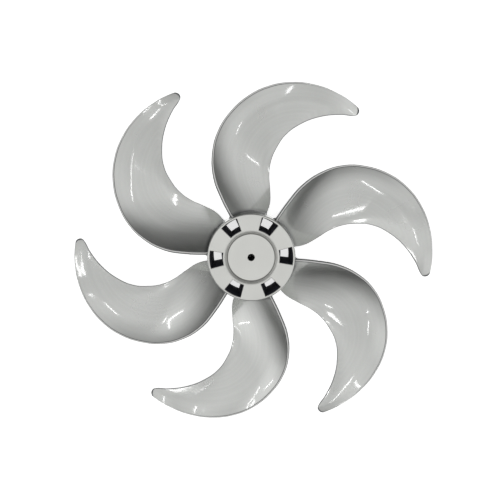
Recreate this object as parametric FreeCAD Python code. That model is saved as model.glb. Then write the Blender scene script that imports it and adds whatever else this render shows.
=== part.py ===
import FreeCAD, Part
import os
from math import cos, degrees, radians, sin, tan

# Pedestal fan blade: a hub with six twisted sickle blades, moulded in one piece.
# Millimetres. The spin axis is Z, the front with the spinner seat looks to +Z,
# and the origin is on the axis in the plane of the hub's rear rim.

# Overall sizes
TIP_RADIUS = 180.0
HUB_RADIUS = 44.0
HUB_DEPTH = 36.0
BLADE_COUNT = 6

# Hub walls
SKIRT_WALL = 2.2
FRONT_WALL = 2.4
RIB_WALL = 2.2
RING_WALL = 2.2
RIM_ROUND = 1.5

# Windows through the hub, narrowing to the rear by the inset all round
WINDOW_LAND = 0.6
WINDOW_RIM = 2.5
WINDOW_ANGLE = 25.0
WINDOW_INSET = 2.5
WINDOW_PLACE_ANGLE = 3.0

# Spinner seat sunk into the front
SEAT_RADIUS = 23.5
SEAT_DEPTH = 3.0
SEAT_ROUND = 3.0
SEAT_SLOPE = 45.0

# Shaft boss
BOSS_RADIUS = 9.0
BOSS_RECESS = 2.0
SHAFT_BORE = 8.0
THREAD_HOLE = 7.0
PIN_SLOT_WIDTH = 4.0
PIN_SLOT_DEPTH = 5.0
WEB_WALL = 2.0
WEB_RISE = 8.0

# Blade walls
ROOT_THICKNESS = 2.6
TIP_THICKNESS = 1.9

# Blade outline seen from the front: up the hollow leading edge, round the tip and back down the
# bulging trailing edge. A point is a share of the span and an angle in degrees.
OUTLINE = (
    (0.00, 8.3), (0.10, 9.8), (0.20, 14.3), (0.30, 17.8), (0.40, 18.5), (0.50, 17.1), (0.60, 14.6),
    (0.70, 10.2), (0.80, 4.4), (0.88, -1.6), (0.925, -5.5), (0.94, -6.0), (0.965, -6.1), (0.984, -4.2),
    (0.998, 3.0), (0.992, 10.2), (0.965, 17.5), (0.915, 24.8), (0.84, 32.0), (0.74, 39.1), (0.62, 46.0),
    (0.48, 51.9), (0.33, 56.3), (0.17, 58.3), (0.00, 59.0),
)
POINTS_PER_EDGE = 4

# Blade sheet, drawn through straight sections square to the blade's own axis and cut to the outline.
# A section is a share of the tip radius along that axis, then the sheet's height in the middle,
# its rise towards the trailing side and its hollow at both sides, as shares of the hub's depth.
# It reaches the side share of the tip radius to each side of the axis.
BLADE_AXIS_ANGLE = 18.0
SECTIONS = (
    (0.100, 0.15, 1.82, 0.60),
    (0.325, 0.24, 0.80, 0.47),
    (0.550, 0.39, 0.23, 0.34),
    (0.775, 0.56, 0.03, 0.27),
    (1.000, 0.74, 0.08, 0.32),
)
SIDE_SHARE = 0.41
SECTION_STEPS = 5

# Overrun of a cut past the face that it opens
CUT_MARGIN = 1.0

# Derived places
PITCH = 360.0 / BLADE_COUNT
AXIS = FreeCAD.Vector(0, 0, 1)
CENTRE = FreeCAD.Vector(0, 0, 0)
SEAT_LEVEL = HUB_DEPTH - SEAT_DEPTH
CORE_CEILING = SEAT_LEVEL - FRONT_WALL
ROOT_RADIUS = HUB_RADIUS - SKIRT_WALL / 2
SPAN = TIP_RADIUS - ROOT_RADIUS
SLOPE = radians(SEAT_SLOPE)
LIP_DROP = SEAT_ROUND * (1 - cos(SLOPE))
LIP_START = SEAT_RADIUS + (SEAT_DEPTH - LIP_DROP) / tan(SLOPE)
LIP_END = LIP_START + SEAT_ROUND * sin(SLOPE)
WINDOW_INNER = LIP_END + WINDOW_LAND
WINDOW_OUTER = HUB_RADIUS - WINDOW_RIM
WINDOW_MIDDLE = (WINDOW_INNER + WINDOW_OUTER) / 2


def polar(radius, angle, height):
    return FreeCAD.Vector(radius * cos(radians(angle)), radius * sin(radians(angle)), height)


def around(shape, turn):
    copy = shape.copy()
    copy.rotate(CENTRE, AXIS, turn)
    return copy


def cylinder(radius, bottom, top):
    return Part.makeCylinder(radius, top - bottom, FreeCAD.Vector(0, 0, bottom))


def sector_wire(inner, outer, start, end, height):
    middle = (start + end) / 2
    corners = [
        polar(inner, start, height),
        polar(outer, start, height),
        polar(outer, end, height),
        polar(inner, end, height),
    ]
    edges = [
        Part.LineSegment(corners[0], corners[1]).toShape(),
        Part.Arc(corners[1], polar(outer, middle, height), corners[2]).toShape(),
        Part.LineSegment(corners[2], corners[3]).toShape(),
        Part.Arc(corners[3], polar(inner, middle, height), corners[0]).toShape(),
    ]
    return Part.Wire(edges)


# Hub
def hub_body():
    """Solid of revolution with a rounded rim and the sunk spinner seat."""
    half_drop = SEAT_ROUND * (1 - cos(SLOPE / 2))
    half_reach = SEAT_ROUND * sin(SLOPE / 2)
    rim_inset = RIM_ROUND * (1 - cos(radians(45)))

    def at(radius, height):
        return FreeCAD.Vector(radius, 0, height)

    low_axis = at(0, 0)
    low_rim = at(HUB_RADIUS, 0)
    rim_side = at(HUB_RADIUS, HUB_DEPTH - RIM_ROUND)
    rim_corner = at(HUB_RADIUS - rim_inset, HUB_DEPTH - rim_inset)
    rim_top = at(HUB_RADIUS - RIM_ROUND, HUB_DEPTH)
    lip_top = at(LIP_END, HUB_DEPTH)
    lip_middle = at(LIP_END - half_reach, HUB_DEPTH - half_drop)
    lip_low = at(LIP_START, HUB_DEPTH - LIP_DROP)
    seat_edge = at(SEAT_RADIUS, SEAT_LEVEL)
    seat_axis = at(0, SEAT_LEVEL)
    edges = [
        Part.LineSegment(low_axis, low_rim).toShape(),
        Part.LineSegment(low_rim, rim_side).toShape(),
        Part.Arc(rim_side, rim_corner, rim_top).toShape(),
        Part.LineSegment(rim_top, lip_top).toShape(),
        Part.Arc(lip_top, lip_middle, lip_low).toShape(),
        Part.LineSegment(lip_low, seat_edge).toShape(),
        Part.LineSegment(seat_edge, seat_axis).toShape(),
        Part.LineSegment(seat_axis, low_axis).toShape(),
    ]
    return Part.Face(Part.Wire(edges)).revolve(CENTRE, AXIS, 360)


def window_limits(height):
    """Inner radius, outer radius and half angle of a window at a height."""
    inset = WINDOW_INSET * (HUB_DEPTH - height) / HUB_DEPTH
    half_angle = WINDOW_ANGLE / 2 - degrees(inset / WINDOW_MIDDLE)
    return WINDOW_INNER + inset, WINDOW_OUTER - inset, half_angle


def window_cut():
    """Tapered duct through the hub between two blade roots."""
    wires = []
    for height in (-CUT_MARGIN, HUB_DEPTH + CUT_MARGIN):
        inner, outer, half = window_limits(height)
        start = WINDOW_PLACE_ANGLE - half
        end = WINDOW_PLACE_ANGLE + half
        wires.append(sector_wire(inner, outer, start, end, height))
    return Part.makeLoft(wires, True, True)


def cell_cut():
    """Blind cell behind the closed panel between two windows, open to the rear."""
    outer = HUB_RADIUS - SKIRT_WALL
    rib = degrees(RIB_WALL / WINDOW_MIDDLE)
    wires = []
    for height in (-CUT_MARGIN, HUB_DEPTH - FRONT_WALL):
        half = window_limits(height)[2] + rib
        start = WINDOW_PLACE_ANGLE + half
        end = WINDOW_PLACE_ANGLE + PITCH - half
        wires.append(sector_wire(WINDOW_INNER, outer, start, end, height))
    return Part.makeLoft(wires, True, True)


def core_cut():
    """Space between the shaft boss and the inner ring, crossed by radial webs."""
    outer = WINDOW_INNER - RING_WALL
    space = cylinder(outer, -CUT_MARGIN, CORE_CEILING)
    space = space.cut(cylinder(BOSS_RADIUS, BOSS_RECESS, CORE_CEILING))
    web_corner = FreeCAD.Vector(0, -WEB_WALL / 2, WEB_RISE)
    web = Part.makeBox(outer, WEB_WALL, CORE_CEILING - WEB_RISE, web_corner)
    webs = [around(web, WINDOW_PLACE_ANGLE + PITCH * (i + 0.5)) for i in range(BLADE_COUNT)]
    return space.cut(webs)


def shaft_cuts():
    """Shaft bore, hole for the threaded shaft end and slot for the drive pin."""
    bore = cylinder(SHAFT_BORE / 2, -CUT_MARGIN, CORE_CEILING)
    hole = cylinder(THREAD_HOLE / 2, -CUT_MARGIN, HUB_DEPTH)
    reach = BOSS_RADIUS + CUT_MARGIN
    slot_top = BOSS_RECESS + PIN_SLOT_DEPTH
    slot_corner = FreeCAD.Vector(-reach, -PIN_SLOT_WIDTH / 2, 0)
    slot = Part.makeBox(2 * reach, PIN_SLOT_WIDTH, slot_top, slot_corner)
    return [bore, hole, slot]


def hub():
    cuts = [core_cut()] + shaft_cuts()
    window = window_cut()
    cell = cell_cut()
    for i in range(BLADE_COUNT):
        cuts.append(around(window, PITCH * i))
        cuts.append(around(cell, PITCH * i))
    return hub_body().cut(cuts)


# Blade
def outline_wire(height):
    """Smooth blade outline at a height, closed by an arc inside the hub's skirt."""
    points = [polar(ROOT_RADIUS + share * SPAN, angle, height) for share, angle in OUTLINE]
    curve = Part.BSplineCurve()
    curve.interpolate(points)
    ends = curve.getKnots()[::POINTS_PER_EDGE]
    edges = [curve.toShape(first, last) for first, last in zip(ends, ends[1:])]
    root_middle = polar(ROOT_RADIUS, (OUTLINE[0][1] + OUTLINE[-1][1]) / 2, height)
    edges.append(Part.Arc(points[-1], root_middle, points[0]).toShape())
    return Part.Wire(edges)


def front_grid():
    """Points of the twisted and hollowed front of the sheet."""
    grid = []
    for reach, middle, rise, hollow in SECTIONS:
        row = []
        for j in range(SECTION_STEPS):
            across = 2 * j / (SECTION_STEPS - 1) - 1
            beside = across * SIDE_SHARE * TIP_RADIUS
            height = (middle + rise * across + hollow * across ** 2) * HUB_DEPTH
            row.append(FreeCAD.Vector(reach * TIP_RADIUS, beside, height))
        grid.append(row)
    return grid


def back_grid(front):
    """Points of the back of the sheet, one wall thickness behind the front."""
    last_row = len(SECTIONS) - 1
    last_step = SECTION_STEPS - 1
    grid = []
    for i, points in enumerate(front):
        thickness = ROOT_THICKNESS + (TIP_THICKNESS - ROOT_THICKNESS) * i / last_row
        row = []
        for j, point in enumerate(points):
            along = front[min(i + 1, last_row)][j] - front[max(i - 1, 0)][j]
            across = points[min(j + 1, last_step)] - points[max(j - 1, 0)]
            row.append(point - along.cross(across).normalize() * thickness)
        grid.append(row)
    return grid


def skin(grid):
    surface = Part.BSplineSurface()
    surface.interpolate(grid)
    return surface


def borders(surface):
    first_u, last_u, first_v, last_v = surface.bounds()
    curves = [surface.uIso(first_u), surface.uIso(last_u), surface.vIso(first_v), surface.vIso(last_v)]
    return [curve.toShape() for curve in curves]


def sheet():
    """Closed solid between the two skins, wider than the blade."""
    points = front_grid()
    front = skin(points)
    back = skin(back_grid(points))
    faces = [front.toShape(), back.toShape()]
    for front_edge, back_edge in zip(borders(front), borders(back)):
        faces.append(Part.makeRuledSurface(front_edge, back_edge))
    shell = Part.makeShell(faces)
    shell.sewShape()
    solid = Part.makeSolid(shell)
    if solid.Volume < 0:
        solid.reverse()
    return around(solid, BLADE_AXIS_ANGLE)


def blade():
    """Sheet cut to the outline along the mould's draw, which is the spin axis."""
    column = Part.makeLoft([outline_wire(-HUB_DEPTH), outline_wire(2 * HUB_DEPTH)], True, True)
    return sheet().common(column)


def fan_blade():
    one_blade = blade()
    blades = [around(one_blade, PITCH * i) for i in range(BLADE_COUNT)]
    return hub().fuse(blades).removeSplitter()


os.makedirs("parts", exist_ok=True)
fan_blade().exportStep("parts/fan_blade.step")
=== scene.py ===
import bmesh
import bpy
from math import asin, atan2, cos, degrees, hypot, pi, radians, sin, sqrt, tau
from mathutils import Matrix, Vector


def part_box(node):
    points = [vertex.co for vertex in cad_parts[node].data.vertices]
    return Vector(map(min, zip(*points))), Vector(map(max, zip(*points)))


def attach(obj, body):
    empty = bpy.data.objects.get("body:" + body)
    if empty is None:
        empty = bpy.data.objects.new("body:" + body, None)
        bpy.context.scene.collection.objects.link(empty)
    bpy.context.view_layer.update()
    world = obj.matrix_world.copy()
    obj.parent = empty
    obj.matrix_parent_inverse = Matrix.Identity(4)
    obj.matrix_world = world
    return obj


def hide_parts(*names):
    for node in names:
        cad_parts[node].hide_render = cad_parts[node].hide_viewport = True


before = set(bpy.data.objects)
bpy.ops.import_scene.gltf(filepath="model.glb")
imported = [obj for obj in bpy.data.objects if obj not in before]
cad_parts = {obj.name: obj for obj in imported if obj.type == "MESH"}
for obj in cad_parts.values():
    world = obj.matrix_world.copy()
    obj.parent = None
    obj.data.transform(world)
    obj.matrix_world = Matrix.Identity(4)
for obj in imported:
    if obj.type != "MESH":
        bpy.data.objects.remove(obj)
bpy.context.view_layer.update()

# Six-blade fan wheel of silver plastic, lying on its rear rim and seen from above.
# Metres and degrees, in the part's own frame: the spin axis is Z and the front looks up.

# Main sizes
CAD_LOW, CAD_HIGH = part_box("fan_blade")
HUB_DEPTH = CAD_HIGH[2] - CAD_LOW[2]
TIP_RADIUS = 0.180
HUB_RADIUS = 0.044
ROOT_RADIUS = 0.0429
BLADE_COUNT = 6
PITCH = 360 / BLADE_COUNT

# Places nearer than this count as one
SAME_PLACE = 1e-6

# Hub from the front: windows, rim, lip and sunk seat
HUB_STEPS = 144
HUB_STEP_ANGLE = 360 / HUB_STEPS
HUB_EDGE = 0.0004
WINDOW_CENTRE = 3.0
WINDOW_HALF = 12.5
WINDOW_REAR_HALF = 8.4
WINDOW_INNER = 0.02834
WINDOW_OUTER = 0.0415
WINDOW_INSET = 0.0025
WINDOW_EDGE_ROUND = 0.0005
WINDOW_EDGE_ANGLE = 60
RIM_ROUND = 0.0015
RIM_TURNS = (0, 22.5, 45, 67.5, 90)
SEAT_RADIUS = 0.0235
SEAT_LEVEL = 0.033
LIP_START = 0.0256
LIP_END = 0.0277
LIP_LEVEL = 0.0351
LIP_BEND = (0.45, 0.75)
FRONT_HOLE = 0.0035

# Hub from the rear: cells, room round the boss, boss with bore and pin slot, webs
CELL_OUTER = 0.0418
CELL_CEILING = 0.0336
CELL_HALF = 18.0
CELL_TOP_HALF = 14.0
CORE_RADIUS = 0.0261
CORE_CEILING = 0.0306
BOSS_RADIUS = 0.009
BOSS_LEVEL = 0.002
BORE_RADIUS = 0.004
PIN_SLOT_HALF = 0.002
PIN_SLOT_CEILING = 0.007
PIN_SLOT_TURN = 0.5
PIN_SLOT_LINE = 5 * HUB_STEP_ANGLE
PIN_SLOT_MARGIN = 0.00003
WEB_WALL = 0.002
WEB_LEVEL = 0.008
WEB_OVERLAP = 0.0005

# Blade outline from the front, up the leading edge, round the tip and down the trailing edge:
# share of the span and angle
OUTLINE = (
    (0.00, 8.3), (0.10, 9.8), (0.20, 14.3), (0.30, 17.8), (0.40, 18.5), (0.50, 17.1),
    (0.60, 14.6), (0.70, 10.2), (0.80, 4.4), (0.88, -1.6), (0.925, -5.5), (0.94, -6.0),
    (0.965, -6.1), (0.984, -4.2), (0.998, 3.0), (0.992, 10.2), (0.965, 17.5), (0.915, 24.8),
    (0.84, 32.0), (0.74, 39.1), (0.62, 46.0), (0.48, 51.9), (0.33, 56.3), (0.17, 58.3),
    (0.00, 59.0),
)
OUTLINE_FINENESS = 16

# Places in the outline where the leading and the trailing edge reach the tip, and the swell of the
# tip between them from a share of the blade's length on
LEADING_END = 10
TRAILING_END = 13
TIP_BULGE = 0.0036
TIP_BULGE_START = 0.93

# Sections of the blade's sheet square to its own axis: share of the tip radius along the axis, then
# height in the middle, rise to the trailing side and hollow, as shares of the hub's depth
BLADE_AXIS_ANGLE = 18.0
SECTIONS = (
    (0.100, 0.15, 1.82, 0.60),
    (0.325, 0.24, 0.80, 0.47),
    (0.550, 0.39, 0.23, 0.34),
    (0.775, 0.56, 0.03, 0.27),
    (1.000, 0.74, 0.08, 0.32),
)
SECTION_HALF_WIDTH = 0.41 * TIP_RADIUS
SLOPE_STEP = 0.0005
ROOT_THICKNESS = 0.0026
TIP_THICKNESS = 0.0019
ROOT_FILLET = 0.0025
REAR_CLEARANCE = 0.0002

# Painted shade in dark lines along a blade's edges, fainter on the back and round the wall
EDGE_ROUND = 0.0004
RIM_BAND = 0.0006
BACK_SHADE = 0.6
WALL_SHADE = 0.4
WALL_CUTS = 4

# Distances from the trailing edge at which a dark line of painted shade, the trimmed strip with a
# painted highlight and a crease of painted shade end, the strip's steepest tilt, and the shares of
# the length between which it fades out
TRIM_START = 0.0003
TRIM_WIDTH = 0.0011
CREASE_END = 0.0017
TRIM_TILT = 0.7
TRIM_FADE = (0.66, 0.93)

# Lift of the edges to the front by radius, and how far in it reaches
LEADING_CURL_WIDTH = 0.013
LEADING_CURL = (
    (0.05, -0.0009), (0.065, -0.0006), (0.085, 0.0005), (0.10, 0.0009), (0.18, 0.0009),
)
TRAILING_CURL_WIDTH = 0.020
TRAILING_CURL = (
    (0.05, 0.0006), (0.08, 0.0011), (0.105, 0.0021), (0.13, 0.0029), (0.155, 0.0027),
    (0.18, 0.0010),
)

# Rows and columns of a blade's grid: close together at the root, the tip and both edges
ROOT_ROWS = (0.0, 0.004, 0.006, 0.009, 0.013, 0.018, 0.025, 0.036, 0.05)
MIDDLE_ROWS = 44
TIP_DISTANCES = (0.0032, 0.0025, 0.0021, 0.0018, 0.0015, 0.0009, 0.0004, 0.0001, 0.0)
LEADING_COLUMNS = (0.0, 0.0001, 0.0004, 0.0009)
TRAILING_COLUMNS = (
    0.0, 0.0001, 0.0002, 0.0004, 0.0007, 0.0010, 0.0012, 0.0015, 0.0019, 0.0032,
)
MIDDLE_COLUMNS = 40
SHARP_ANGLE = 50

# Colours of the finish
SILVER_DARK = (0.48, 0.49, 0.47, 1)
SILVER_LIGHT = (0.52, 0.53, 0.51, 1)
FLOW_COLOUR = (0.30, 0.31, 0.29, 1)
HUB_COLOUR = (0.745, 0.75, 0.72, 1)
# Painted shade in the corner round the sunk seat
SEAT_SHADE_COLOUR = (0.22, 0.22, 0.21, 1)
# Painted shade of the dark lines along the blades' edges and at their roots
PAINTED_SHADE_COLOUR = (0.10, 0.105, 0.11, 1)
# Painted highlight on the trimmed strip along the trailing edge
TRIM_HIGHLIGHT_COLOUR = (0.80, 0.80, 0.78, 1)
# Dark colour inside the hub, below its front face
INSIDE_COLOUR = (0.035, 0.038, 0.055, 1)

# Radii between which the finish changes, and heights between which the silver ends inside the hub
HUB_FADE = (HUB_RADIUS - RIM_ROUND, HUB_RADIUS - 0.0005)
SKIRT_FADE = (CELL_OUTER, CELL_OUTER + 0.0008)
SUNK_FADE = (LIP_END, WINDOW_INNER)
SILVER_END = (HUB_DEPTH - 0.0020, HUB_DEPTH - 0.0004)
# Radii of the painted shade in the corner round the seat
SEAT_SHADE_IN = (SEAT_RADIUS - 0.0006, SEAT_RADIUS)
SEAT_SHADE_OUT = (SEAT_RADIUS + 0.0002, SEAT_RADIUS + 0.0010)
# Painted shade where the blades meet the hub: radii where it comes in and fades out, and its
# strength
ROOT_SHADE_IN = (HUB_RADIUS + 0.0001, HUB_RADIUS + 0.0005)
ROOT_SHADE_OUT = (HUB_RADIUS + 0.0008, HUB_RADIUS + 0.0050)
ROOT_SHADE_LEVEL = 0.8

# Textures of the finish
CLOUD_SCALE = 28.0
CLOUD_DETAIL = 3.0
FLAKE_SCALE = 2200.0
FLAKE_SHARE = 0.04
GRAIN_SCALE = 1400.0
GRAIN_STRENGTH = 0.25
GRAIN_HEIGHT = 0.0002
FLOW_SCALE = 260.0
FLOW_DETAIL = 3.0
FLOW_RANGE = (0.35, 0.65)
FLOW_SHARE = 0.12
TONE_RANGE = (0.3, 0.7)

# Gloss of the finish: metal and coat on the silver and off it, roughness by the clouds, and what
# the grain and the dark inside of the hub add to it
METALLIC = (0.85, 0.1)
COAT_WEIGHT = (0.8, 0.0)
COAT_ROUGHNESS = 0.06
COAT_IOR = 2.8
CLOUD_RANGE = (0.2, 0.8)
ROUGHNESS = (0.26, 0.34)
DULL_ROUGHNESS = 0.20
INSIDE_ROUGHNESS = 0.45

# Ranges of a mask
OFF_TO_ON = (0.0, 1.0)
ON_TO_OFF = (1.0, 0.0)

# Brightness of the studio by height above the horizon, from 0 there to 1 overhead
WORLD_LEVEL = 1.27
WORLD_STEPS = (
    (0.0, 0.37), (0.12, 0.18), (0.25, 0.06), (0.35, 0.19), (0.45, 0.49), (0.55, 0.62),
    (0.65, 0.78), (0.75, 0.93), (0.85, 0.96), (0.92, 0.81), (0.96, 0.65), (1.0, 0.75),
)

# Sides of the studio that are darker: azimuth, lean where the shade begins, lean where it is full
# and its level there
SHADES = ((82, 0.08, 0.80, 0.19), (258, 0.28, 1.0, 0.45), (-70, -0.10, 0.25, 0.80))

# Strip lamps under the ceiling: x and y of the middle, turn of the strip and its length
LAMP_HEIGHT = 1.2
LAMP_WIDTH = 0.012
LAMP_LEVEL = 7.0
LAMPS = {
    "lamp_main": (0.02, 0.0, 96, 0.12),
    "lamp_second": (0.16, 0.02, 60, 0.30),
    "lamp_front": (0.185, -0.47, 116, 0.38),
    "lamp_front_left": (-0.13, -0.37, 59, 0.16),
    "lamp_corner": (-0.21, -0.58, 47, 0.10),
    "lamp_right": (0.54, -0.11, 66, 0.18),
    "lamp_upper_right": (0.24, 0.20, 72, 0.14),
    "lamp_upper_left": (-0.61, 0.33, 130, 0.34),
    "lamp_left": (-0.81, -0.08, 35, 0.38),
    "lamp_middle_left": (-0.47, 0.07, 81, 0.28),
}

# White floor that glows to the eye, with a painted shadow under the middle of the hub where the
# glow fades out
FLOOR_COLOUR = (0.80, 0.80, 0.80, 1)
FLOOR_ROUGHNESS = 0.9
FLOOR_GLOW = 0.72
FLOOR_SHADOW_FADE = (CORE_RADIUS, WINDOW_INNER)
FLOOR_HALF = 20.0
FLOOR_DROP = 0.0002

# Camera as in the photograph
CAMERA_PLACE = (-0.0062, 0.0869, 0.6742)
CAMERA_TURN = (-8.41, 2.51, 0.0)
CAMERA_LENS = 46.62
CAMERA_SENSOR = 36.0
CAMERA_SHIFT = (0.0663, 0.0304)


def polar(radius, angle, height=0.0):
    return Vector((radius * cos(radians(angle)), radius * sin(radians(angle)), height))


def angle_of(point):
    return degrees(atan2(point.y, point.x))


def radius_of(point):
    return hypot(point.x, point.y)


def blend(first, second, share):
    return first + (second - first) * share


def piecewise(value, pairs):
    """Straight-line reading of a value between listed pairs."""
    for (low, low_result), (high, high_result) in zip(pairs, pairs[1:]):
        if value <= high:
            return blend(low_result, high_result, (value - low) / (high - low))
    return pairs[-1][1]


def only_verts(items):
    return [item for item in items if isinstance(item, bmesh.types.BMVert)]


# Blade
def through_sections(reach, column):
    """Smooth reading of one column of the sections at a share of the tip radius."""
    result = 0.0
    for one in SECTIONS:
        weight = 1.0
        for other in SECTIONS:
            if other is not one:
                weight *= (reach - other[0]) / (one[0] - other[0])
        result += weight * one[column]
    return result


def sheet_height(x, y):
    """Height of the blade's front over a place in the plan."""
    turn = radians(BLADE_AXIS_ANGLE)
    reach = (x * cos(turn) + y * sin(turn)) / TIP_RADIUS
    across = (y * cos(turn) - x * sin(turn)) / SECTION_HALF_WIDTH
    middle, rise, hollow = (through_sections(reach, column) for column in (1, 2, 3))
    return HUB_DEPTH * (middle + rise * across + hollow * across ** 2)


def sheet_normal(x, y):
    step = SLOPE_STEP
    slope_x = (sheet_height(x + step, y) - sheet_height(x - step, y)) / (2 * step)
    slope_y = (sheet_height(x, y + step) - sheet_height(x, y - step)) / (2 * step)
    return Vector((-slope_x, -slope_y, 1.0)).normalized()


def wall_thickness(radius):
    share = (radius - ROOT_RADIUS) / (TIP_RADIUS - ROOT_RADIUS)
    return blend(ROOT_THICKNESS, TIP_THICKNESS, share)


def outline_points():
    """Blade outline in the plan as a fine smooth run of points."""
    curve = bpy.data.curves.new("blade_outline", "CURVE")
    curve.dimensions = "3D"
    curve.resolution_u = OUTLINE_FINENESS
    spline = curve.splines.new("BEZIER")
    spline.bezier_points.add(len(OUTLINE) - 1)
    for point, (share, angle) in zip(spline.bezier_points, OUTLINE):
        point.co = polar(blend(ROOT_RADIUS, TIP_RADIUS, share), angle)
        point.handle_left_type = "AUTO"
        point.handle_right_type = "AUTO"
    outline = bpy.data.objects.new("blade_outline", curve)
    bpy.context.collection.objects.link(outline)
    evaluated = outline.evaluated_get(bpy.context.evaluated_depsgraph_get())
    mesh = bpy.data.meshes.new_from_object(evaluated)
    points = [vertex.co.copy() for vertex in mesh.vertices]
    bpy.data.objects.remove(outline)
    bpy.data.curves.remove(curve)
    bpy.data.meshes.remove(mesh)
    return points


def along(points, place):
    """Point at a place counted in steps along a run of points."""
    first = min(int(place), len(points) - 2)
    return points[first].lerp(points[first + 1], place - first)


def quarter_round(distance, radius):
    """Drop of a rounded edge at a distance from it."""
    inside = max(radius - distance, 0.0)
    return radius - sqrt(max(radius ** 2 - inside ** 2, 0.0))


def blade_rows(length):
    """Shares of the blade's length at which the grid's rows stand."""
    tip = [1 - distance / length for distance in TIP_DISTANCES]
    middle = [blend(ROOT_ROWS[-1], tip[0], i / MIDDLE_ROWS) for i in range(1, MIDDLE_ROWS)]
    return list(ROOT_ROWS) + middle + tip


def blade_columns(chord):
    """Shares of the chord at which the grid's columns stand."""
    near = [distance / chord for distance in LEADING_COLUMNS]
    far = [1 - distance / chord for distance in reversed(TRAILING_COLUMNS)]
    middle = [blend(near[-1], far[0], j / MIDDLE_COLUMNS) for j in range(1, MIDDLE_COLUMNS)]
    return near + middle + far


def blade_plan(points):
    """Rows of places in the plan.

    Each has its distances from the leading edge, the trailing edge and the tip, and its share of
    the trimmed strip along the trailing edge, which fades out before the tip.
    """
    last_step = len(points) - 1
    leading_steps = LEADING_END * OUTLINE_FINENESS
    trailing_steps = last_step - TRAILING_END * OUTLINE_FINENESS
    tip_leading = points[leading_steps]
    tip_trailing = points[last_step - trailing_steps]
    tip_way = (tip_trailing - tip_leading).cross(Vector((0, 0, 1))).normalized()
    blade_length = (tip_leading - points[0]).length
    fade = ((0.0, 1.0), (TRIM_FADE[0], 1.0), (TRIM_FADE[1], 0.0), (1.0, 0.0))
    rows = []
    for share in blade_rows(blade_length):
        leading = along(points, leading_steps * share)
        rear = along(points, last_step - trailing_steps * share)
        rear = rear + sheet_normal(rear.x, rear.y) * wall_thickness(radius_of(rear))
        chord = (rear - leading).to_2d().length
        bulge = max(0.0, (share - TIP_BULGE_START) / (1 - TIP_BULGE_START)) ** 2
        strip = piecewise(share, fade)
        row = []
        for across in blade_columns(chord):
            radius = blend(radius_of(leading), radius_of(rear), across)
            angle = blend(angle_of(leading), angle_of(rear), across)
            swell = sqrt(max(0.0, 1 - (2 * across - 1) ** 2))
            place = polar(radius, angle) + tip_way * TIP_BULGE * bulge * swell
            distances = (across * chord, (1 - across) * chord, (1 - share) * blade_length)
            row.append((place, *distances, strip))
        rows.append(row)
    return rows


def curl(leading, trailing, radius):
    """Lift of the sheet towards its edges, which curl up to the front or droop beside the hub."""
    near_leading = max(0.0, 1 - leading / LEADING_CURL_WIDTH) ** 2
    near_trailing = max(0.0, 1 - trailing / TRAILING_CURL_WIDTH) ** 2
    leading_lift = piecewise(radius, LEADING_CURL) * near_leading
    return leading_lift + piecewise(radius, TRAILING_CURL) * near_trailing


def chamfer(trailing, normal):
    """Depth of the level strip that is trimmed off the front along the trailing edge."""
    tilt = hypot(normal.x, normal.y) / normal.z
    return max(0.0, TRIM_WIDTH - trailing) * min(tilt, TRIM_TILT)


def lay_skin(verts, plan, front, rim, trim_highlight, flow):
    """Moves a grid's vertices to the blade's front or back.

    Marks the painted shade along the edges and in a crease, the painted highlight on the trimmed
    strip, and the distance from the trailing edge and the tip that the flow lines follow.
    """
    width = len(plan[0])
    for index, vert in enumerate(verts):
        place, leading, trailing, from_tip, strip = plan[index // width][index % width]
        edge = min(leading, trailing, from_tip)
        normal = sheet_normal(place.x, place.y)
        radius = radius_of(place)
        flare = quarter_round(max(radius - HUB_RADIUS, 0.0), ROOT_FILLET)
        drop = quarter_round(edge, EDGE_ROUND)
        if front:
            offset = flare - drop - strip * chamfer(trailing, normal)
            if min(leading, from_tip) < RIM_BAND or trailing < TRIM_START:
                # Painted shade along the edges
                vert[rim] = 1.0
            elif trailing < TRIM_WIDTH:
                # Painted highlight on the trimmed strip
                vert[trim_highlight] = strip
            elif trailing < CREASE_END:
                # Painted shade in a crease beyond the strip
                vert[rim] = strip
        else:
            offset = drop - flare - wall_thickness(radius)
            if edge < RIM_BAND / 2:
                # Fainter painted shade along the back's edges
                vert[rim] = BACK_SHADE
        offset += curl(min(leading, from_tip), trailing, radius)
        vert.co = Vector((place.x, place.y, sheet_height(place.x, place.y))) + normal * offset
        vert.co.z = max(vert.co.z, REAR_CLEARANCE)
        vert[flow] = min(trailing, from_tip)


def add_blade(bm):
    """One blade as a closed shell, with its root inside the hub's skirt."""
    plan = blade_plan(outline_points())
    columns = len(plan[0]) - 1
    rows = len(plan) - 1
    rim = bm.verts.layers.float.new("rim")
    flow = bm.verts.layers.float.new("flow")
    trim_highlight = bm.verts.layers.float.new("trim_highlight")
    rails = set()
    for front in (True, False):
        grid = bmesh.ops.create_grid(bm, x_segments=columns, y_segments=rows, size=1.0)
        lay_skin(grid["verts"], plan, front, rim, trim_highlight, flow)
        for vert in grid["verts"]:
            rails.update(edge for edge in vert.link_edges if edge.is_boundary)
    wall = bmesh.ops.bridge_loops(bm, edges=list(rails))["faces"]
    rungs = {edge for face in wall for edge in face.edges} - rails
    cut = bmesh.ops.subdivide_edges(bm, edges=list(rungs), cuts=WALL_CUTS)["geom_inner"]
    for vert in only_verts(cut):
        # Painted shade round the wall
        vert[rim] = WALL_SHADE
    return bm.verts[:] + bm.edges[:] + bm.faces[:]


def blades_mesh():
    bm = bmesh.new()
    blade = add_blade(bm)
    for i in range(1, BLADE_COUNT):
        verts = only_verts(bmesh.ops.duplicate(bm, geom=blade)["geom"])
        turn = Matrix.Rotation(radians(PITCH * i), 3, "Z")
        bmesh.ops.rotate(bm, verts=verts, cent=(0, 0, 0), matrix=turn)
    bmesh.ops.recalc_face_normals(bm, faces=bm.faces)
    return bm


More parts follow.
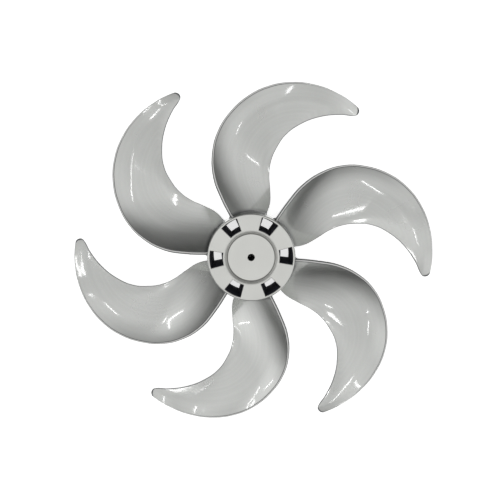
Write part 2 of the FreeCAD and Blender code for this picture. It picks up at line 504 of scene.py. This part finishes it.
# Hub
def hub_profile():
    """Half section of the hub as (radius, height), once round from the front hole."""
    front = [
        (FRONT_HOLE, SEAT_LEVEL - HUB_EDGE),
        (FRONT_HOLE + HUB_EDGE, SEAT_LEVEL),
        (SEAT_RADIUS - HUB_EDGE, SEAT_LEVEL),
        (SEAT_RADIUS + HUB_EDGE, SEAT_LEVEL + HUB_EDGE),
        (LIP_START, LIP_LEVEL),
        (blend(LIP_START, LIP_END, LIP_BEND[0]), blend(LIP_LEVEL, HUB_DEPTH, LIP_BEND[1])),
        (LIP_END, HUB_DEPTH),
        (WINDOW_INNER, HUB_DEPTH),
        (WINDOW_OUTER, HUB_DEPTH),
    ]
    rim = HUB_RADIUS - RIM_ROUND
    rim_arc = [
        (rim + RIM_ROUND * sin(radians(turn)), HUB_DEPTH - RIM_ROUND * (1 - cos(radians(turn))))
        for turn in RIM_TURNS
    ]
    rear = [
        (HUB_RADIUS, HUB_EDGE),
        (HUB_RADIUS - HUB_EDGE, 0.0),
        (CELL_OUTER, 0.0),
        (WINDOW_OUTER - WINDOW_INSET, 0.0),
        (WINDOW_INNER + WINDOW_INSET, 0.0),
        (WINDOW_INNER, 0.0),
        (CORE_RADIUS, 0.0),
        (CORE_RADIUS, CORE_CEILING),
        (BOSS_RADIUS, CORE_CEILING),
        (BOSS_RADIUS, PIN_SLOT_CEILING),
        (BOSS_RADIUS, BOSS_LEVEL),
        (BORE_RADIUS, BOSS_LEVEL),
        (BORE_RADIUS, PIN_SLOT_CEILING),
        (BORE_RADIUS, CORE_CEILING),
        (FRONT_HOLE, CORE_CEILING),
    ]
    return front + rim_arc + rear


def from_centre(angle, centre, period):
    """Angle from the nearest of the places that repeat round the axis."""
    return (angle - centre + period / 2) % period - period / 2


def spin_hub(bm):
    start = WINDOW_CENTRE - WINDOW_HALF
    verts = [bm.verts.new(polar(radius, start, height)) for radius, height in hub_profile()]
    edges = [bm.edges.new(pair) for pair in zip(verts, verts[1:] + verts[:1])]
    bmesh.ops.spin(
        bm, geom=verts + edges, cent=(0, 0, 0), axis=(0, 0, 1), angle=tau,
        steps=HUB_STEPS, use_merge=True,
    )
    bmesh.ops.remove_doubles(bm, verts=bm.verts, dist=SAME_PLACE)
    bmesh.ops.recalc_face_normals(bm, faces=bm.faces)


def flat_faces(bm, level, inner, outer, half, centre, period):
    """Level faces of a ring, within half an angle of places that repeat round the axis."""
    found = []
    for face in bm.faces:
        middle = face.calc_center_median()
        level_face = all(abs(vert.co.z - level) < SAME_PLACE for vert in face.verts)
        if level_face and inner < radius_of(middle) < outer:
            if abs(from_centre(angle_of(middle), centre, period)) < half:
                found.append(face)
    return found


def turn_to(vert, angle):
    vert.co = polar(radius_of(vert.co), angle, vert.co.z)


def respace(vert, centre, period, pairs):
    """Turns a vertex so that its angle from the nearest centre follows the listed pairs."""
    angle = angle_of(vert.co)
    place = from_centre(angle, centre, period)
    moved = piecewise(abs(place), pairs)
    turn_to(vert, angle - place + (moved if place > 0 else -moved))


def narrow_rear(bm):
    """Turns the rear vertices so that the ducts narrow to the rear and leave ribs beside them."""
    pairs = (
        (0, 0),
        (WINDOW_HALF, WINDOW_REAR_HALF),
        (WINDOW_HALF + HUB_STEP_ANGLE, PITCH / 2 - CELL_HALF),
        (PITCH / 2, PITCH / 2),
    )
    for vert in bm.verts:
        in_ring = WINDOW_INNER - SAME_PLACE < radius_of(vert.co) < CELL_OUTER + SAME_PLACE
        if in_ring and abs(vert.co.z) < SAME_PLACE:
            respace(vert, WINDOW_CENTRE, PITCH, pairs)


def open_windows(bm):
    """Ducts from the front windows to the rear, each closed round by bridged walls."""
    front = flat_faces(
        bm, HUB_DEPTH, WINDOW_INNER, WINDOW_OUTER, WINDOW_HALF, WINDOW_CENTRE, PITCH
    )
    rear_inner = WINDOW_INNER + WINDOW_INSET
    rear_outer = WINDOW_OUTER - WINDOW_INSET
    rear = flat_faces(bm, 0.0, rear_inner, rear_outer, WINDOW_REAR_HALF, WINDOW_CENTRE, PITCH)
    bmesh.ops.delete(bm, geom=front + rear, context="FACES")
    rims = [edge for edge in bm.edges if edge.is_boundary]
    for i in range(BLADE_COUNT):
        window = []
        for edge in rims:
            middle = (edge.verts[0].co + edge.verts[1].co) / 2
            if abs(from_centre(angle_of(middle), WINDOW_CENTRE + PITCH * i, 360)) < PITCH / 2:
                window.append(edge)
        bmesh.ops.bridge_loops(bm, edges=window)
    sharp = []
    for edge in bm.edges:
        on_front = all(abs(vert.co.z - HUB_DEPTH) < SAME_PLACE for vert in edge.verts)
        if on_front and edge.calc_face_angle(0.0) > radians(WINDOW_EDGE_ANGLE):
            sharp.append(edge)
    bmesh.ops.bevel(
        bm, geom=sharp, offset=WINDOW_EDGE_ROUND, offset_type="OFFSET", affect="EDGES",
        segments=2, profile=0.5, material=-1,
    )


def sink_cells(bm):
    """Blind cells behind the closed panels, open to the rear."""
    centre = WINDOW_CENTRE + PITCH / 2
    faces = flat_faces(bm, 0.0, WINDOW_INNER, CELL_OUTER, CELL_HALF, centre, PITCH)
    sunk = bmesh.ops.extrude_face_region(bm, geom=faces)["geom"]
    bmesh.ops.delete(bm, geom=faces, context="FACES")
    for vert in only_verts(sunk):
        place = from_centre(angle_of(vert.co), centre, PITCH)
        turn_to(vert, angle_of(vert.co) - place * (1 - CELL_TOP_HALF / CELL_HALF))
        vert.co.z = CELL_CEILING


def in_slot(face):
    return abs(face.calc_center_median().y) < PIN_SLOT_HALF - PIN_SLOT_MARGIN


def on_round_wall(face):
    """Whether a face lies on the boss or in its bore, beside the pin slot."""
    for radius in (BORE_RADIUS, BOSS_RADIUS):
        if all(abs(radius_of(vert.co) - radius) < SAME_PLACE for vert in face.verts):
            return all(vert.co.z < PIN_SLOT_CEILING + SAME_PLACE for vert in face.verts)
    return False


def cut_pin_slot(bm):
    """Slot across the boss's end for the pin in the motor shaft."""
    for vert in bm.verts:
        for radius in (BORE_RADIUS, BOSS_RADIUS):
            if abs(radius_of(vert.co) - radius) < SAME_PLACE:
                half = degrees(asin(PIN_SLOT_HALF / radius))
                pairs = ((0, 0), (PIN_SLOT_LINE, half), (90, 90))
                respace(vert, PIN_SLOT_TURN, 180, pairs)
    ring = flat_faces(bm, BOSS_LEVEL, BORE_RADIUS, BOSS_RADIUS, 180, 0, 360)
    end = [face for face in ring if in_slot(face)]
    sunk = bmesh.ops.extrude_face_region(bm, geom=end)["geom"]
    bmesh.ops.delete(bm, geom=end, context="FACES")
    for vert in only_verts(sunk):
        vert.co.z = PIN_SLOT_CEILING
    mouths = [face for face in bm.faces if on_round_wall(face) and in_slot(face)]
    bmesh.ops.delete(bm, geom=mouths, context="FACES")
    bmesh.ops.remove_doubles(bm, verts=bm.verts, dist=SAME_PLACE)


def add_webs(bm):
    """Radial webs between the boss and the ring round the core."""
    inner = BOSS_RADIUS - WEB_OVERLAP
    outer = CORE_RADIUS + WEB_OVERLAP
    top = CORE_CEILING + WEB_OVERLAP
    size = Matrix.Diagonal((outer - inner, WEB_WALL, top - WEB_LEVEL, 1))
    place = Matrix.Translation(((inner + outer) / 2, 0, (top + WEB_LEVEL) / 2))
    for i in range(BLADE_COUNT):
        turn = Matrix.Rotation(radians(WINDOW_CENTRE + PITCH * (i + 0.5)), 4, "Z")
        bmesh.ops.create_cube(bm, size=1.0, matrix=turn @ place @ size)


def hub_mesh():
    bm = bmesh.new()
    spin_hub(bm)
    narrow_rear(bm)
    open_windows(bm)
    sink_cells(bm)
    cut_pin_slot(bm)
    bmesh.ops.recalc_face_normals(bm, faces=bm.faces)
    add_webs(bm)
    return bm


# Material
def scaled(nodes, links, value, span, result):
    """Value moved smoothly from one range to another."""
    node = nodes.new("ShaderNodeMapRange")
    node.interpolation_type = "SMOOTHSTEP"
    node.inputs["From Min"].default_value, node.inputs["From Max"].default_value = span
    node.inputs["To Min"].default_value, node.inputs["To Max"].default_value = result
    links.new(value, node.inputs["Value"])
    return node.outputs["Result"]


def combined(nodes, links, operation, first, second):
    node = nodes.new("ShaderNodeMath")
    node.operation = operation
    links.new(first, node.inputs[0])
    links.new(second, node.inputs[1])
    return node.outputs["Value"]


def mixed(nodes, links, factor, first, colour):
    """Colour laid over a first colour where a mask is on."""
    node = nodes.new("ShaderNodeMix")
    node.data_type = "RGBA"
    node.inputs["B"].default_value = colour
    links.new(factor, node.inputs["Factor"])
    links.new(first, node.inputs["A"])
    return node.outputs["Result"]


def marked(nodes, name):
    """Value that the mesh carries under a name."""
    node = nodes.new("ShaderNodeAttribute")
    node.attribute_name = name
    return node.outputs["Fac"]


def axis_distance(nodes, links, place):
    flat = nodes.new("ShaderNodeVectorMath")
    flat.operation = "MULTIPLY"
    flat.inputs[1].default_value = (1, 1, 0)
    links.new(place, flat.inputs[0])
    length = nodes.new("ShaderNodeVectorMath")
    length.operation = "LENGTH"
    links.new(flat.outputs["Vector"], length.inputs[0])
    return length.outputs["Value"]


def silver_plastic():
    """Silver finish with metal flake: clear gloss on the blades, grain on the hub, dark inside the
    hub, painted shade along edges and in corners, and a painted highlight on the trimmed strip.
    """
    material = bpy.data.materials.new("silver_plastic")
    material.use_nodes = True
    nodes = material.node_tree.nodes
    links = material.node_tree.links
    shader = nodes["Principled BSDF"]
    place = nodes.new("ShaderNodeTexCoord").outputs["Object"]
    height = nodes.new("ShaderNodeSeparateXYZ")
    links.new(place, height.inputs["Vector"])
    radius = axis_distance(nodes, links, place)
    rim = marked(nodes, "rim")
    trim_highlight = marked(nodes, "trim_highlight")

    # Textures
    cloud = nodes.new("ShaderNodeTexNoise")
    cloud.inputs["Scale"].default_value = CLOUD_SCALE
    cloud.inputs["Detail"].default_value = CLOUD_DETAIL
    links.new(place, cloud.inputs["Vector"])
    flake = nodes.new("ShaderNodeTexVoronoi")
    flake.inputs["Scale"].default_value = FLAKE_SCALE
    links.new(place, flake.inputs["Vector"])
    grain = nodes.new("ShaderNodeTexNoise")
    grain.inputs["Scale"].default_value = GRAIN_SCALE
    links.new(place, grain.inputs["Vector"])
    bands = nodes.new("ShaderNodeTexNoise")
    bands.noise_dimensions = "1D"
    bands.inputs["Scale"].default_value = FLOW_SCALE
    bands.inputs["Detail"].default_value = FLOW_DETAIL
    links.new(marked(nodes, "flow"), bands.inputs["W"])

    # Masks: the hub, its inside, the painted shade in the corner round the seat and the painted
    # shade at the blades' roots
    on_hub = scaled(nodes, links, radius, HUB_FADE, ON_TO_OFF)
    in_skirt = scaled(nodes, links, radius, SKIRT_FADE, ON_TO_OFF)
    sunk = scaled(nodes, links, radius, SUNK_FADE, (HUB_DEPTH - SEAT_LEVEL, 0.0))
    level = combined(nodes, links, "ADD", height.outputs["Z"], sunk)
    below = scaled(nodes, links, level, SILVER_END, ON_TO_OFF)
    inside = combined(nodes, links, "MULTIPLY", in_skirt, below)
    seat_in = scaled(nodes, links, radius, SEAT_SHADE_IN, OFF_TO_ON)
    seat_out = scaled(nodes, links, radius, SEAT_SHADE_OUT, ON_TO_OFF)
    seat_shade = combined(nodes, links, "MULTIPLY", seat_in, seat_out)
    # Painted shade on the blades' roots beside the hub
    root_in = scaled(nodes, links, radius, ROOT_SHADE_IN, OFF_TO_ON)
    root_out = scaled(nodes, links, radius, ROOT_SHADE_OUT, (ROOT_SHADE_LEVEL, 0.0))
    root_shade = combined(nodes, links, "MULTIPLY", root_in, root_out)

    # Colour
    tone = nodes.new("ShaderNodeValToRGB")
    dark, light = tone.color_ramp.elements
    dark.position, light.position = TONE_RANGE
    dark.color = SILVER_DARK
    light.color = SILVER_LIGHT
    links.new(cloud.outputs["Fac"], tone.inputs["Fac"])
    sparkle = nodes.new("ShaderNodeMix")
    sparkle.data_type = "RGBA"
    sparkle.blend_type = "OVERLAY"
    sparkle.inputs["Factor"].default_value = FLAKE_SHARE
    links.new(tone.outputs["Color"], sparkle.inputs["A"])
    links.new(flake.outputs["Color"], sparkle.inputs["B"])
    streaks = scaled(nodes, links, bands.outputs["Fac"], FLOW_RANGE, (0.0, FLOW_SHARE))
    streaked = mixed(nodes, links, streaks, sparkle.outputs["Result"], FLOW_COLOUR)
    grained = mixed(nodes, links, on_hub, streaked, HUB_COLOUR)
    # Painted shade in the corner round the seat
    seat_shaded = mixed(nodes, links, seat_shade, grained, SEAT_SHADE_COLOUR)
    # Painted shade at the blades' roots
    root_shaded = mixed(nodes, links, root_shade, seat_shaded, PAINTED_SHADE_COLOUR)
    # Painted shade along the blades' edges and in the crease
    edge_shaded = mixed(nodes, links, rim, root_shaded, PAINTED_SHADE_COLOUR)
    # Painted highlight on the trimmed strip
    trimmed = mixed(nodes, links, trim_highlight, edge_shaded, TRIM_HIGHLIGHT_COLOUR)
    # Dark inside the hub, below its front face
    colour = mixed(nodes, links, inside, trimmed, INSIDE_COLOUR)
    links.new(colour, shader.inputs["Base Color"])

    # Gloss
    edge = combined(nodes, links, "MAXIMUM", rim, trim_highlight)
    not_silver = combined(nodes, links, "MAXIMUM", edge, inside)
    dull = combined(nodes, links, "MAXIMUM", edge, on_hub)
    links.new(scaled(nodes, links, not_silver, OFF_TO_ON, METALLIC), shader.inputs["Metallic"])
    links.new(scaled(nodes, links, dull, OFF_TO_ON, COAT_WEIGHT), shader.inputs["Coat Weight"])
    rough = scaled(nodes, links, cloud.outputs["Fac"], CLOUD_RANGE, ROUGHNESS)
    for mask, added in ((dull, DULL_ROUGHNESS), (inside, INSIDE_ROUGHNESS)):
        more = scaled(nodes, links, mask, OFF_TO_ON, (0.0, added))
        rough = combined(nodes, links, "ADD", rough, more)
    links.new(rough, shader.inputs["Roughness"])
    shader.inputs["Coat Roughness"].default_value = COAT_ROUGHNESS
    shader.inputs["Coat IOR"].default_value = COAT_IOR

    # Grain of the hub
    bump = nodes.new("ShaderNodeBump")
    bump.inputs["Strength"].default_value = GRAIN_STRENGTH
    bump.inputs["Distance"].default_value = GRAIN_HEIGHT
    hub_grain = combined(nodes, links, "MULTIPLY", grain.outputs["Fac"], on_hub)
    links.new(hub_grain, bump.inputs["Height"])
    links.new(bump.outputs["Normal"], shader.inputs["Normal"])
    return material


# Stage
def floor_white():
    material = bpy.data.materials.new("floor_white")
    material.use_nodes = True
    nodes = material.node_tree.nodes
    links = material.node_tree.links
    shader = nodes["Principled BSDF"]
    shader.inputs["Base Color"].default_value = FLOOR_COLOUR
    shader.inputs["Roughness"].default_value = FLOOR_ROUGHNESS
    shader.inputs["Specular IOR Level"].default_value = 0.0
    path = nodes.new("ShaderNodeLightPath").outputs
    seen = combined(nodes, links, "MAXIMUM", path["Is Camera Ray"], path["Is Glossy Ray"])
    seen = combined(nodes, links, "MAXIMUM", seen, path["Is Transmission Ray"])
    place = nodes.new("ShaderNodeTexCoord")
    away = nodes.new("ShaderNodeVectorMath")
    away.operation = "LENGTH"
    links.new(place.outputs["Object"], away.inputs[0])
    # The glow fades out under the middle of the hub: a painted shadow
    glow = scaled(nodes, links, away.outputs["Value"], FLOOR_SHADOW_FADE, (0.0, FLOOR_GLOW))
    seen_glow = combined(nodes, links, "MULTIPLY", seen, glow)
    shader.inputs["Emission Color"].default_value = (1, 1, 1, 1)
    links.new(seen_glow, shader.inputs["Emission Strength"])
    return material


def add_floor():
    bm = bmesh.new()
    bmesh.ops.create_grid(bm, x_segments=1, y_segments=1, size=FLOOR_HALF)
    bmesh.ops.translate(bm, verts=bm.verts, vec=(0, 0, CAD_LOW[2] - FLOOR_DROP))
    mesh = bpy.data.meshes.new("floor")
    bm.to_mesh(mesh)
    bm.free()
    mesh.materials.append(floor_white())
    floor = bpy.data.objects.new("floor", mesh)
    bpy.context.collection.objects.link(floor)


def add_lamp(name, x, y, turn, length):
    """Strip lamp under the ceiling, looking down."""
    light = bpy.data.lights.new(name, "AREA")
    light.shape = "RECTANGLE"
    light.size = length
    light.size_y = LAMP_WIDTH
    light.energy = LAMP_LEVEL * pi * length * LAMP_WIDTH
    lamp = bpy.data.objects.new(name, light)
    lamp.location = (x, y, LAMP_HEIGHT)
    lamp.rotation_euler = (0, 0, radians(turn))
    bpy.context.collection.objects.link(lamp)


def lean(nodes, links, direction, azimuth):
    """How far a direction leans to one side."""
    node = nodes.new("ShaderNodeVectorMath")
    node.operation = "DOT_PRODUCT"
    node.inputs[1].default_value = polar(1.0, azimuth)
    links.new(direction, node.inputs[0])
    return node.outputs["Value"]


def add_world():
    """Studio that is bright overhead, dark low down and darker to some sides."""
    world = bpy.data.worlds.new("studio")
    bpy.context.scene.world = world
    world.use_nodes = True
    nodes = world.node_tree.nodes
    links = world.node_tree.links
    direction = nodes.new("ShaderNodeTexCoord").outputs["Generated"]
    parts = nodes.new("ShaderNodeSeparateXYZ")
    links.new(direction, parts.inputs["Vector"])
    ramp = nodes.new("ShaderNodeValToRGB")
    elements = ramp.color_ramp.elements
    elements[0].position = WORLD_STEPS[0][0]
    elements[-1].position = WORLD_STEPS[-1][0]
    for position, _ in WORLD_STEPS[1:-1]:
        elements.new(position)
    for element, (_, level) in zip(elements, WORLD_STEPS):
        element.color = (level, level, level, 1)
    links.new(parts.outputs["Z"], ramp.inputs["Fac"])
    links.new(ramp.outputs["Color"], nodes["Background"].inputs["Color"])
    full = nodes.new("ShaderNodeValue")
    full.outputs["Value"].default_value = WORLD_LEVEL
    strength = full.outputs["Value"]
    for azimuth, begin, end, level in SHADES:
        side = lean(nodes, links, direction, azimuth)
        shade = scaled(nodes, links, side, (begin, end), (1.0, level))
        strength = combined(nodes, links, "MULTIPLY", strength, shade)
    links.new(strength, nodes["Background"].inputs["Strength"])


def add_camera():
    data = bpy.data.cameras.new("camera")
    data.lens = CAMERA_LENS
    data.sensor_width = CAMERA_SENSOR
    data.shift_x, data.shift_y = CAMERA_SHIFT
    camera = bpy.data.objects.new("camera", data)
    camera.location = CAMERA_PLACE
    camera.rotation_euler = [radians(turn) for turn in CAMERA_TURN]
    bpy.context.collection.objects.link(camera)
    bpy.context.scene.camera = camera


def add_piece(name, bm, material):
    mesh = bpy.data.meshes.new(name)
    bm.to_mesh(mesh)
    bm.free()
    mesh.shade_smooth()
    mesh.set_sharp_from_angle(angle=radians(SHARP_ANGLE))
    mesh.materials.append(material)
    piece = bpy.data.objects.new(name, mesh)
    bpy.context.collection.objects.link(piece)
    even = piece.modifiers.new("even_normals", "WEIGHTED_NORMAL")
    even.keep_sharp = True
    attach(piece, "root")
    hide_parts("fan_blade")


plastic = silver_plastic()
add_piece("wheel_blades", blades_mesh(), plastic)
add_piece("wheel_hub", hub_mesh(), plastic)
add_floor()
add_world()
for lamp, values in LAMPS.items():
    add_lamp(lamp, *values)
add_camera()
bpy.context.scene.view_settings.view_transform = "Standard"
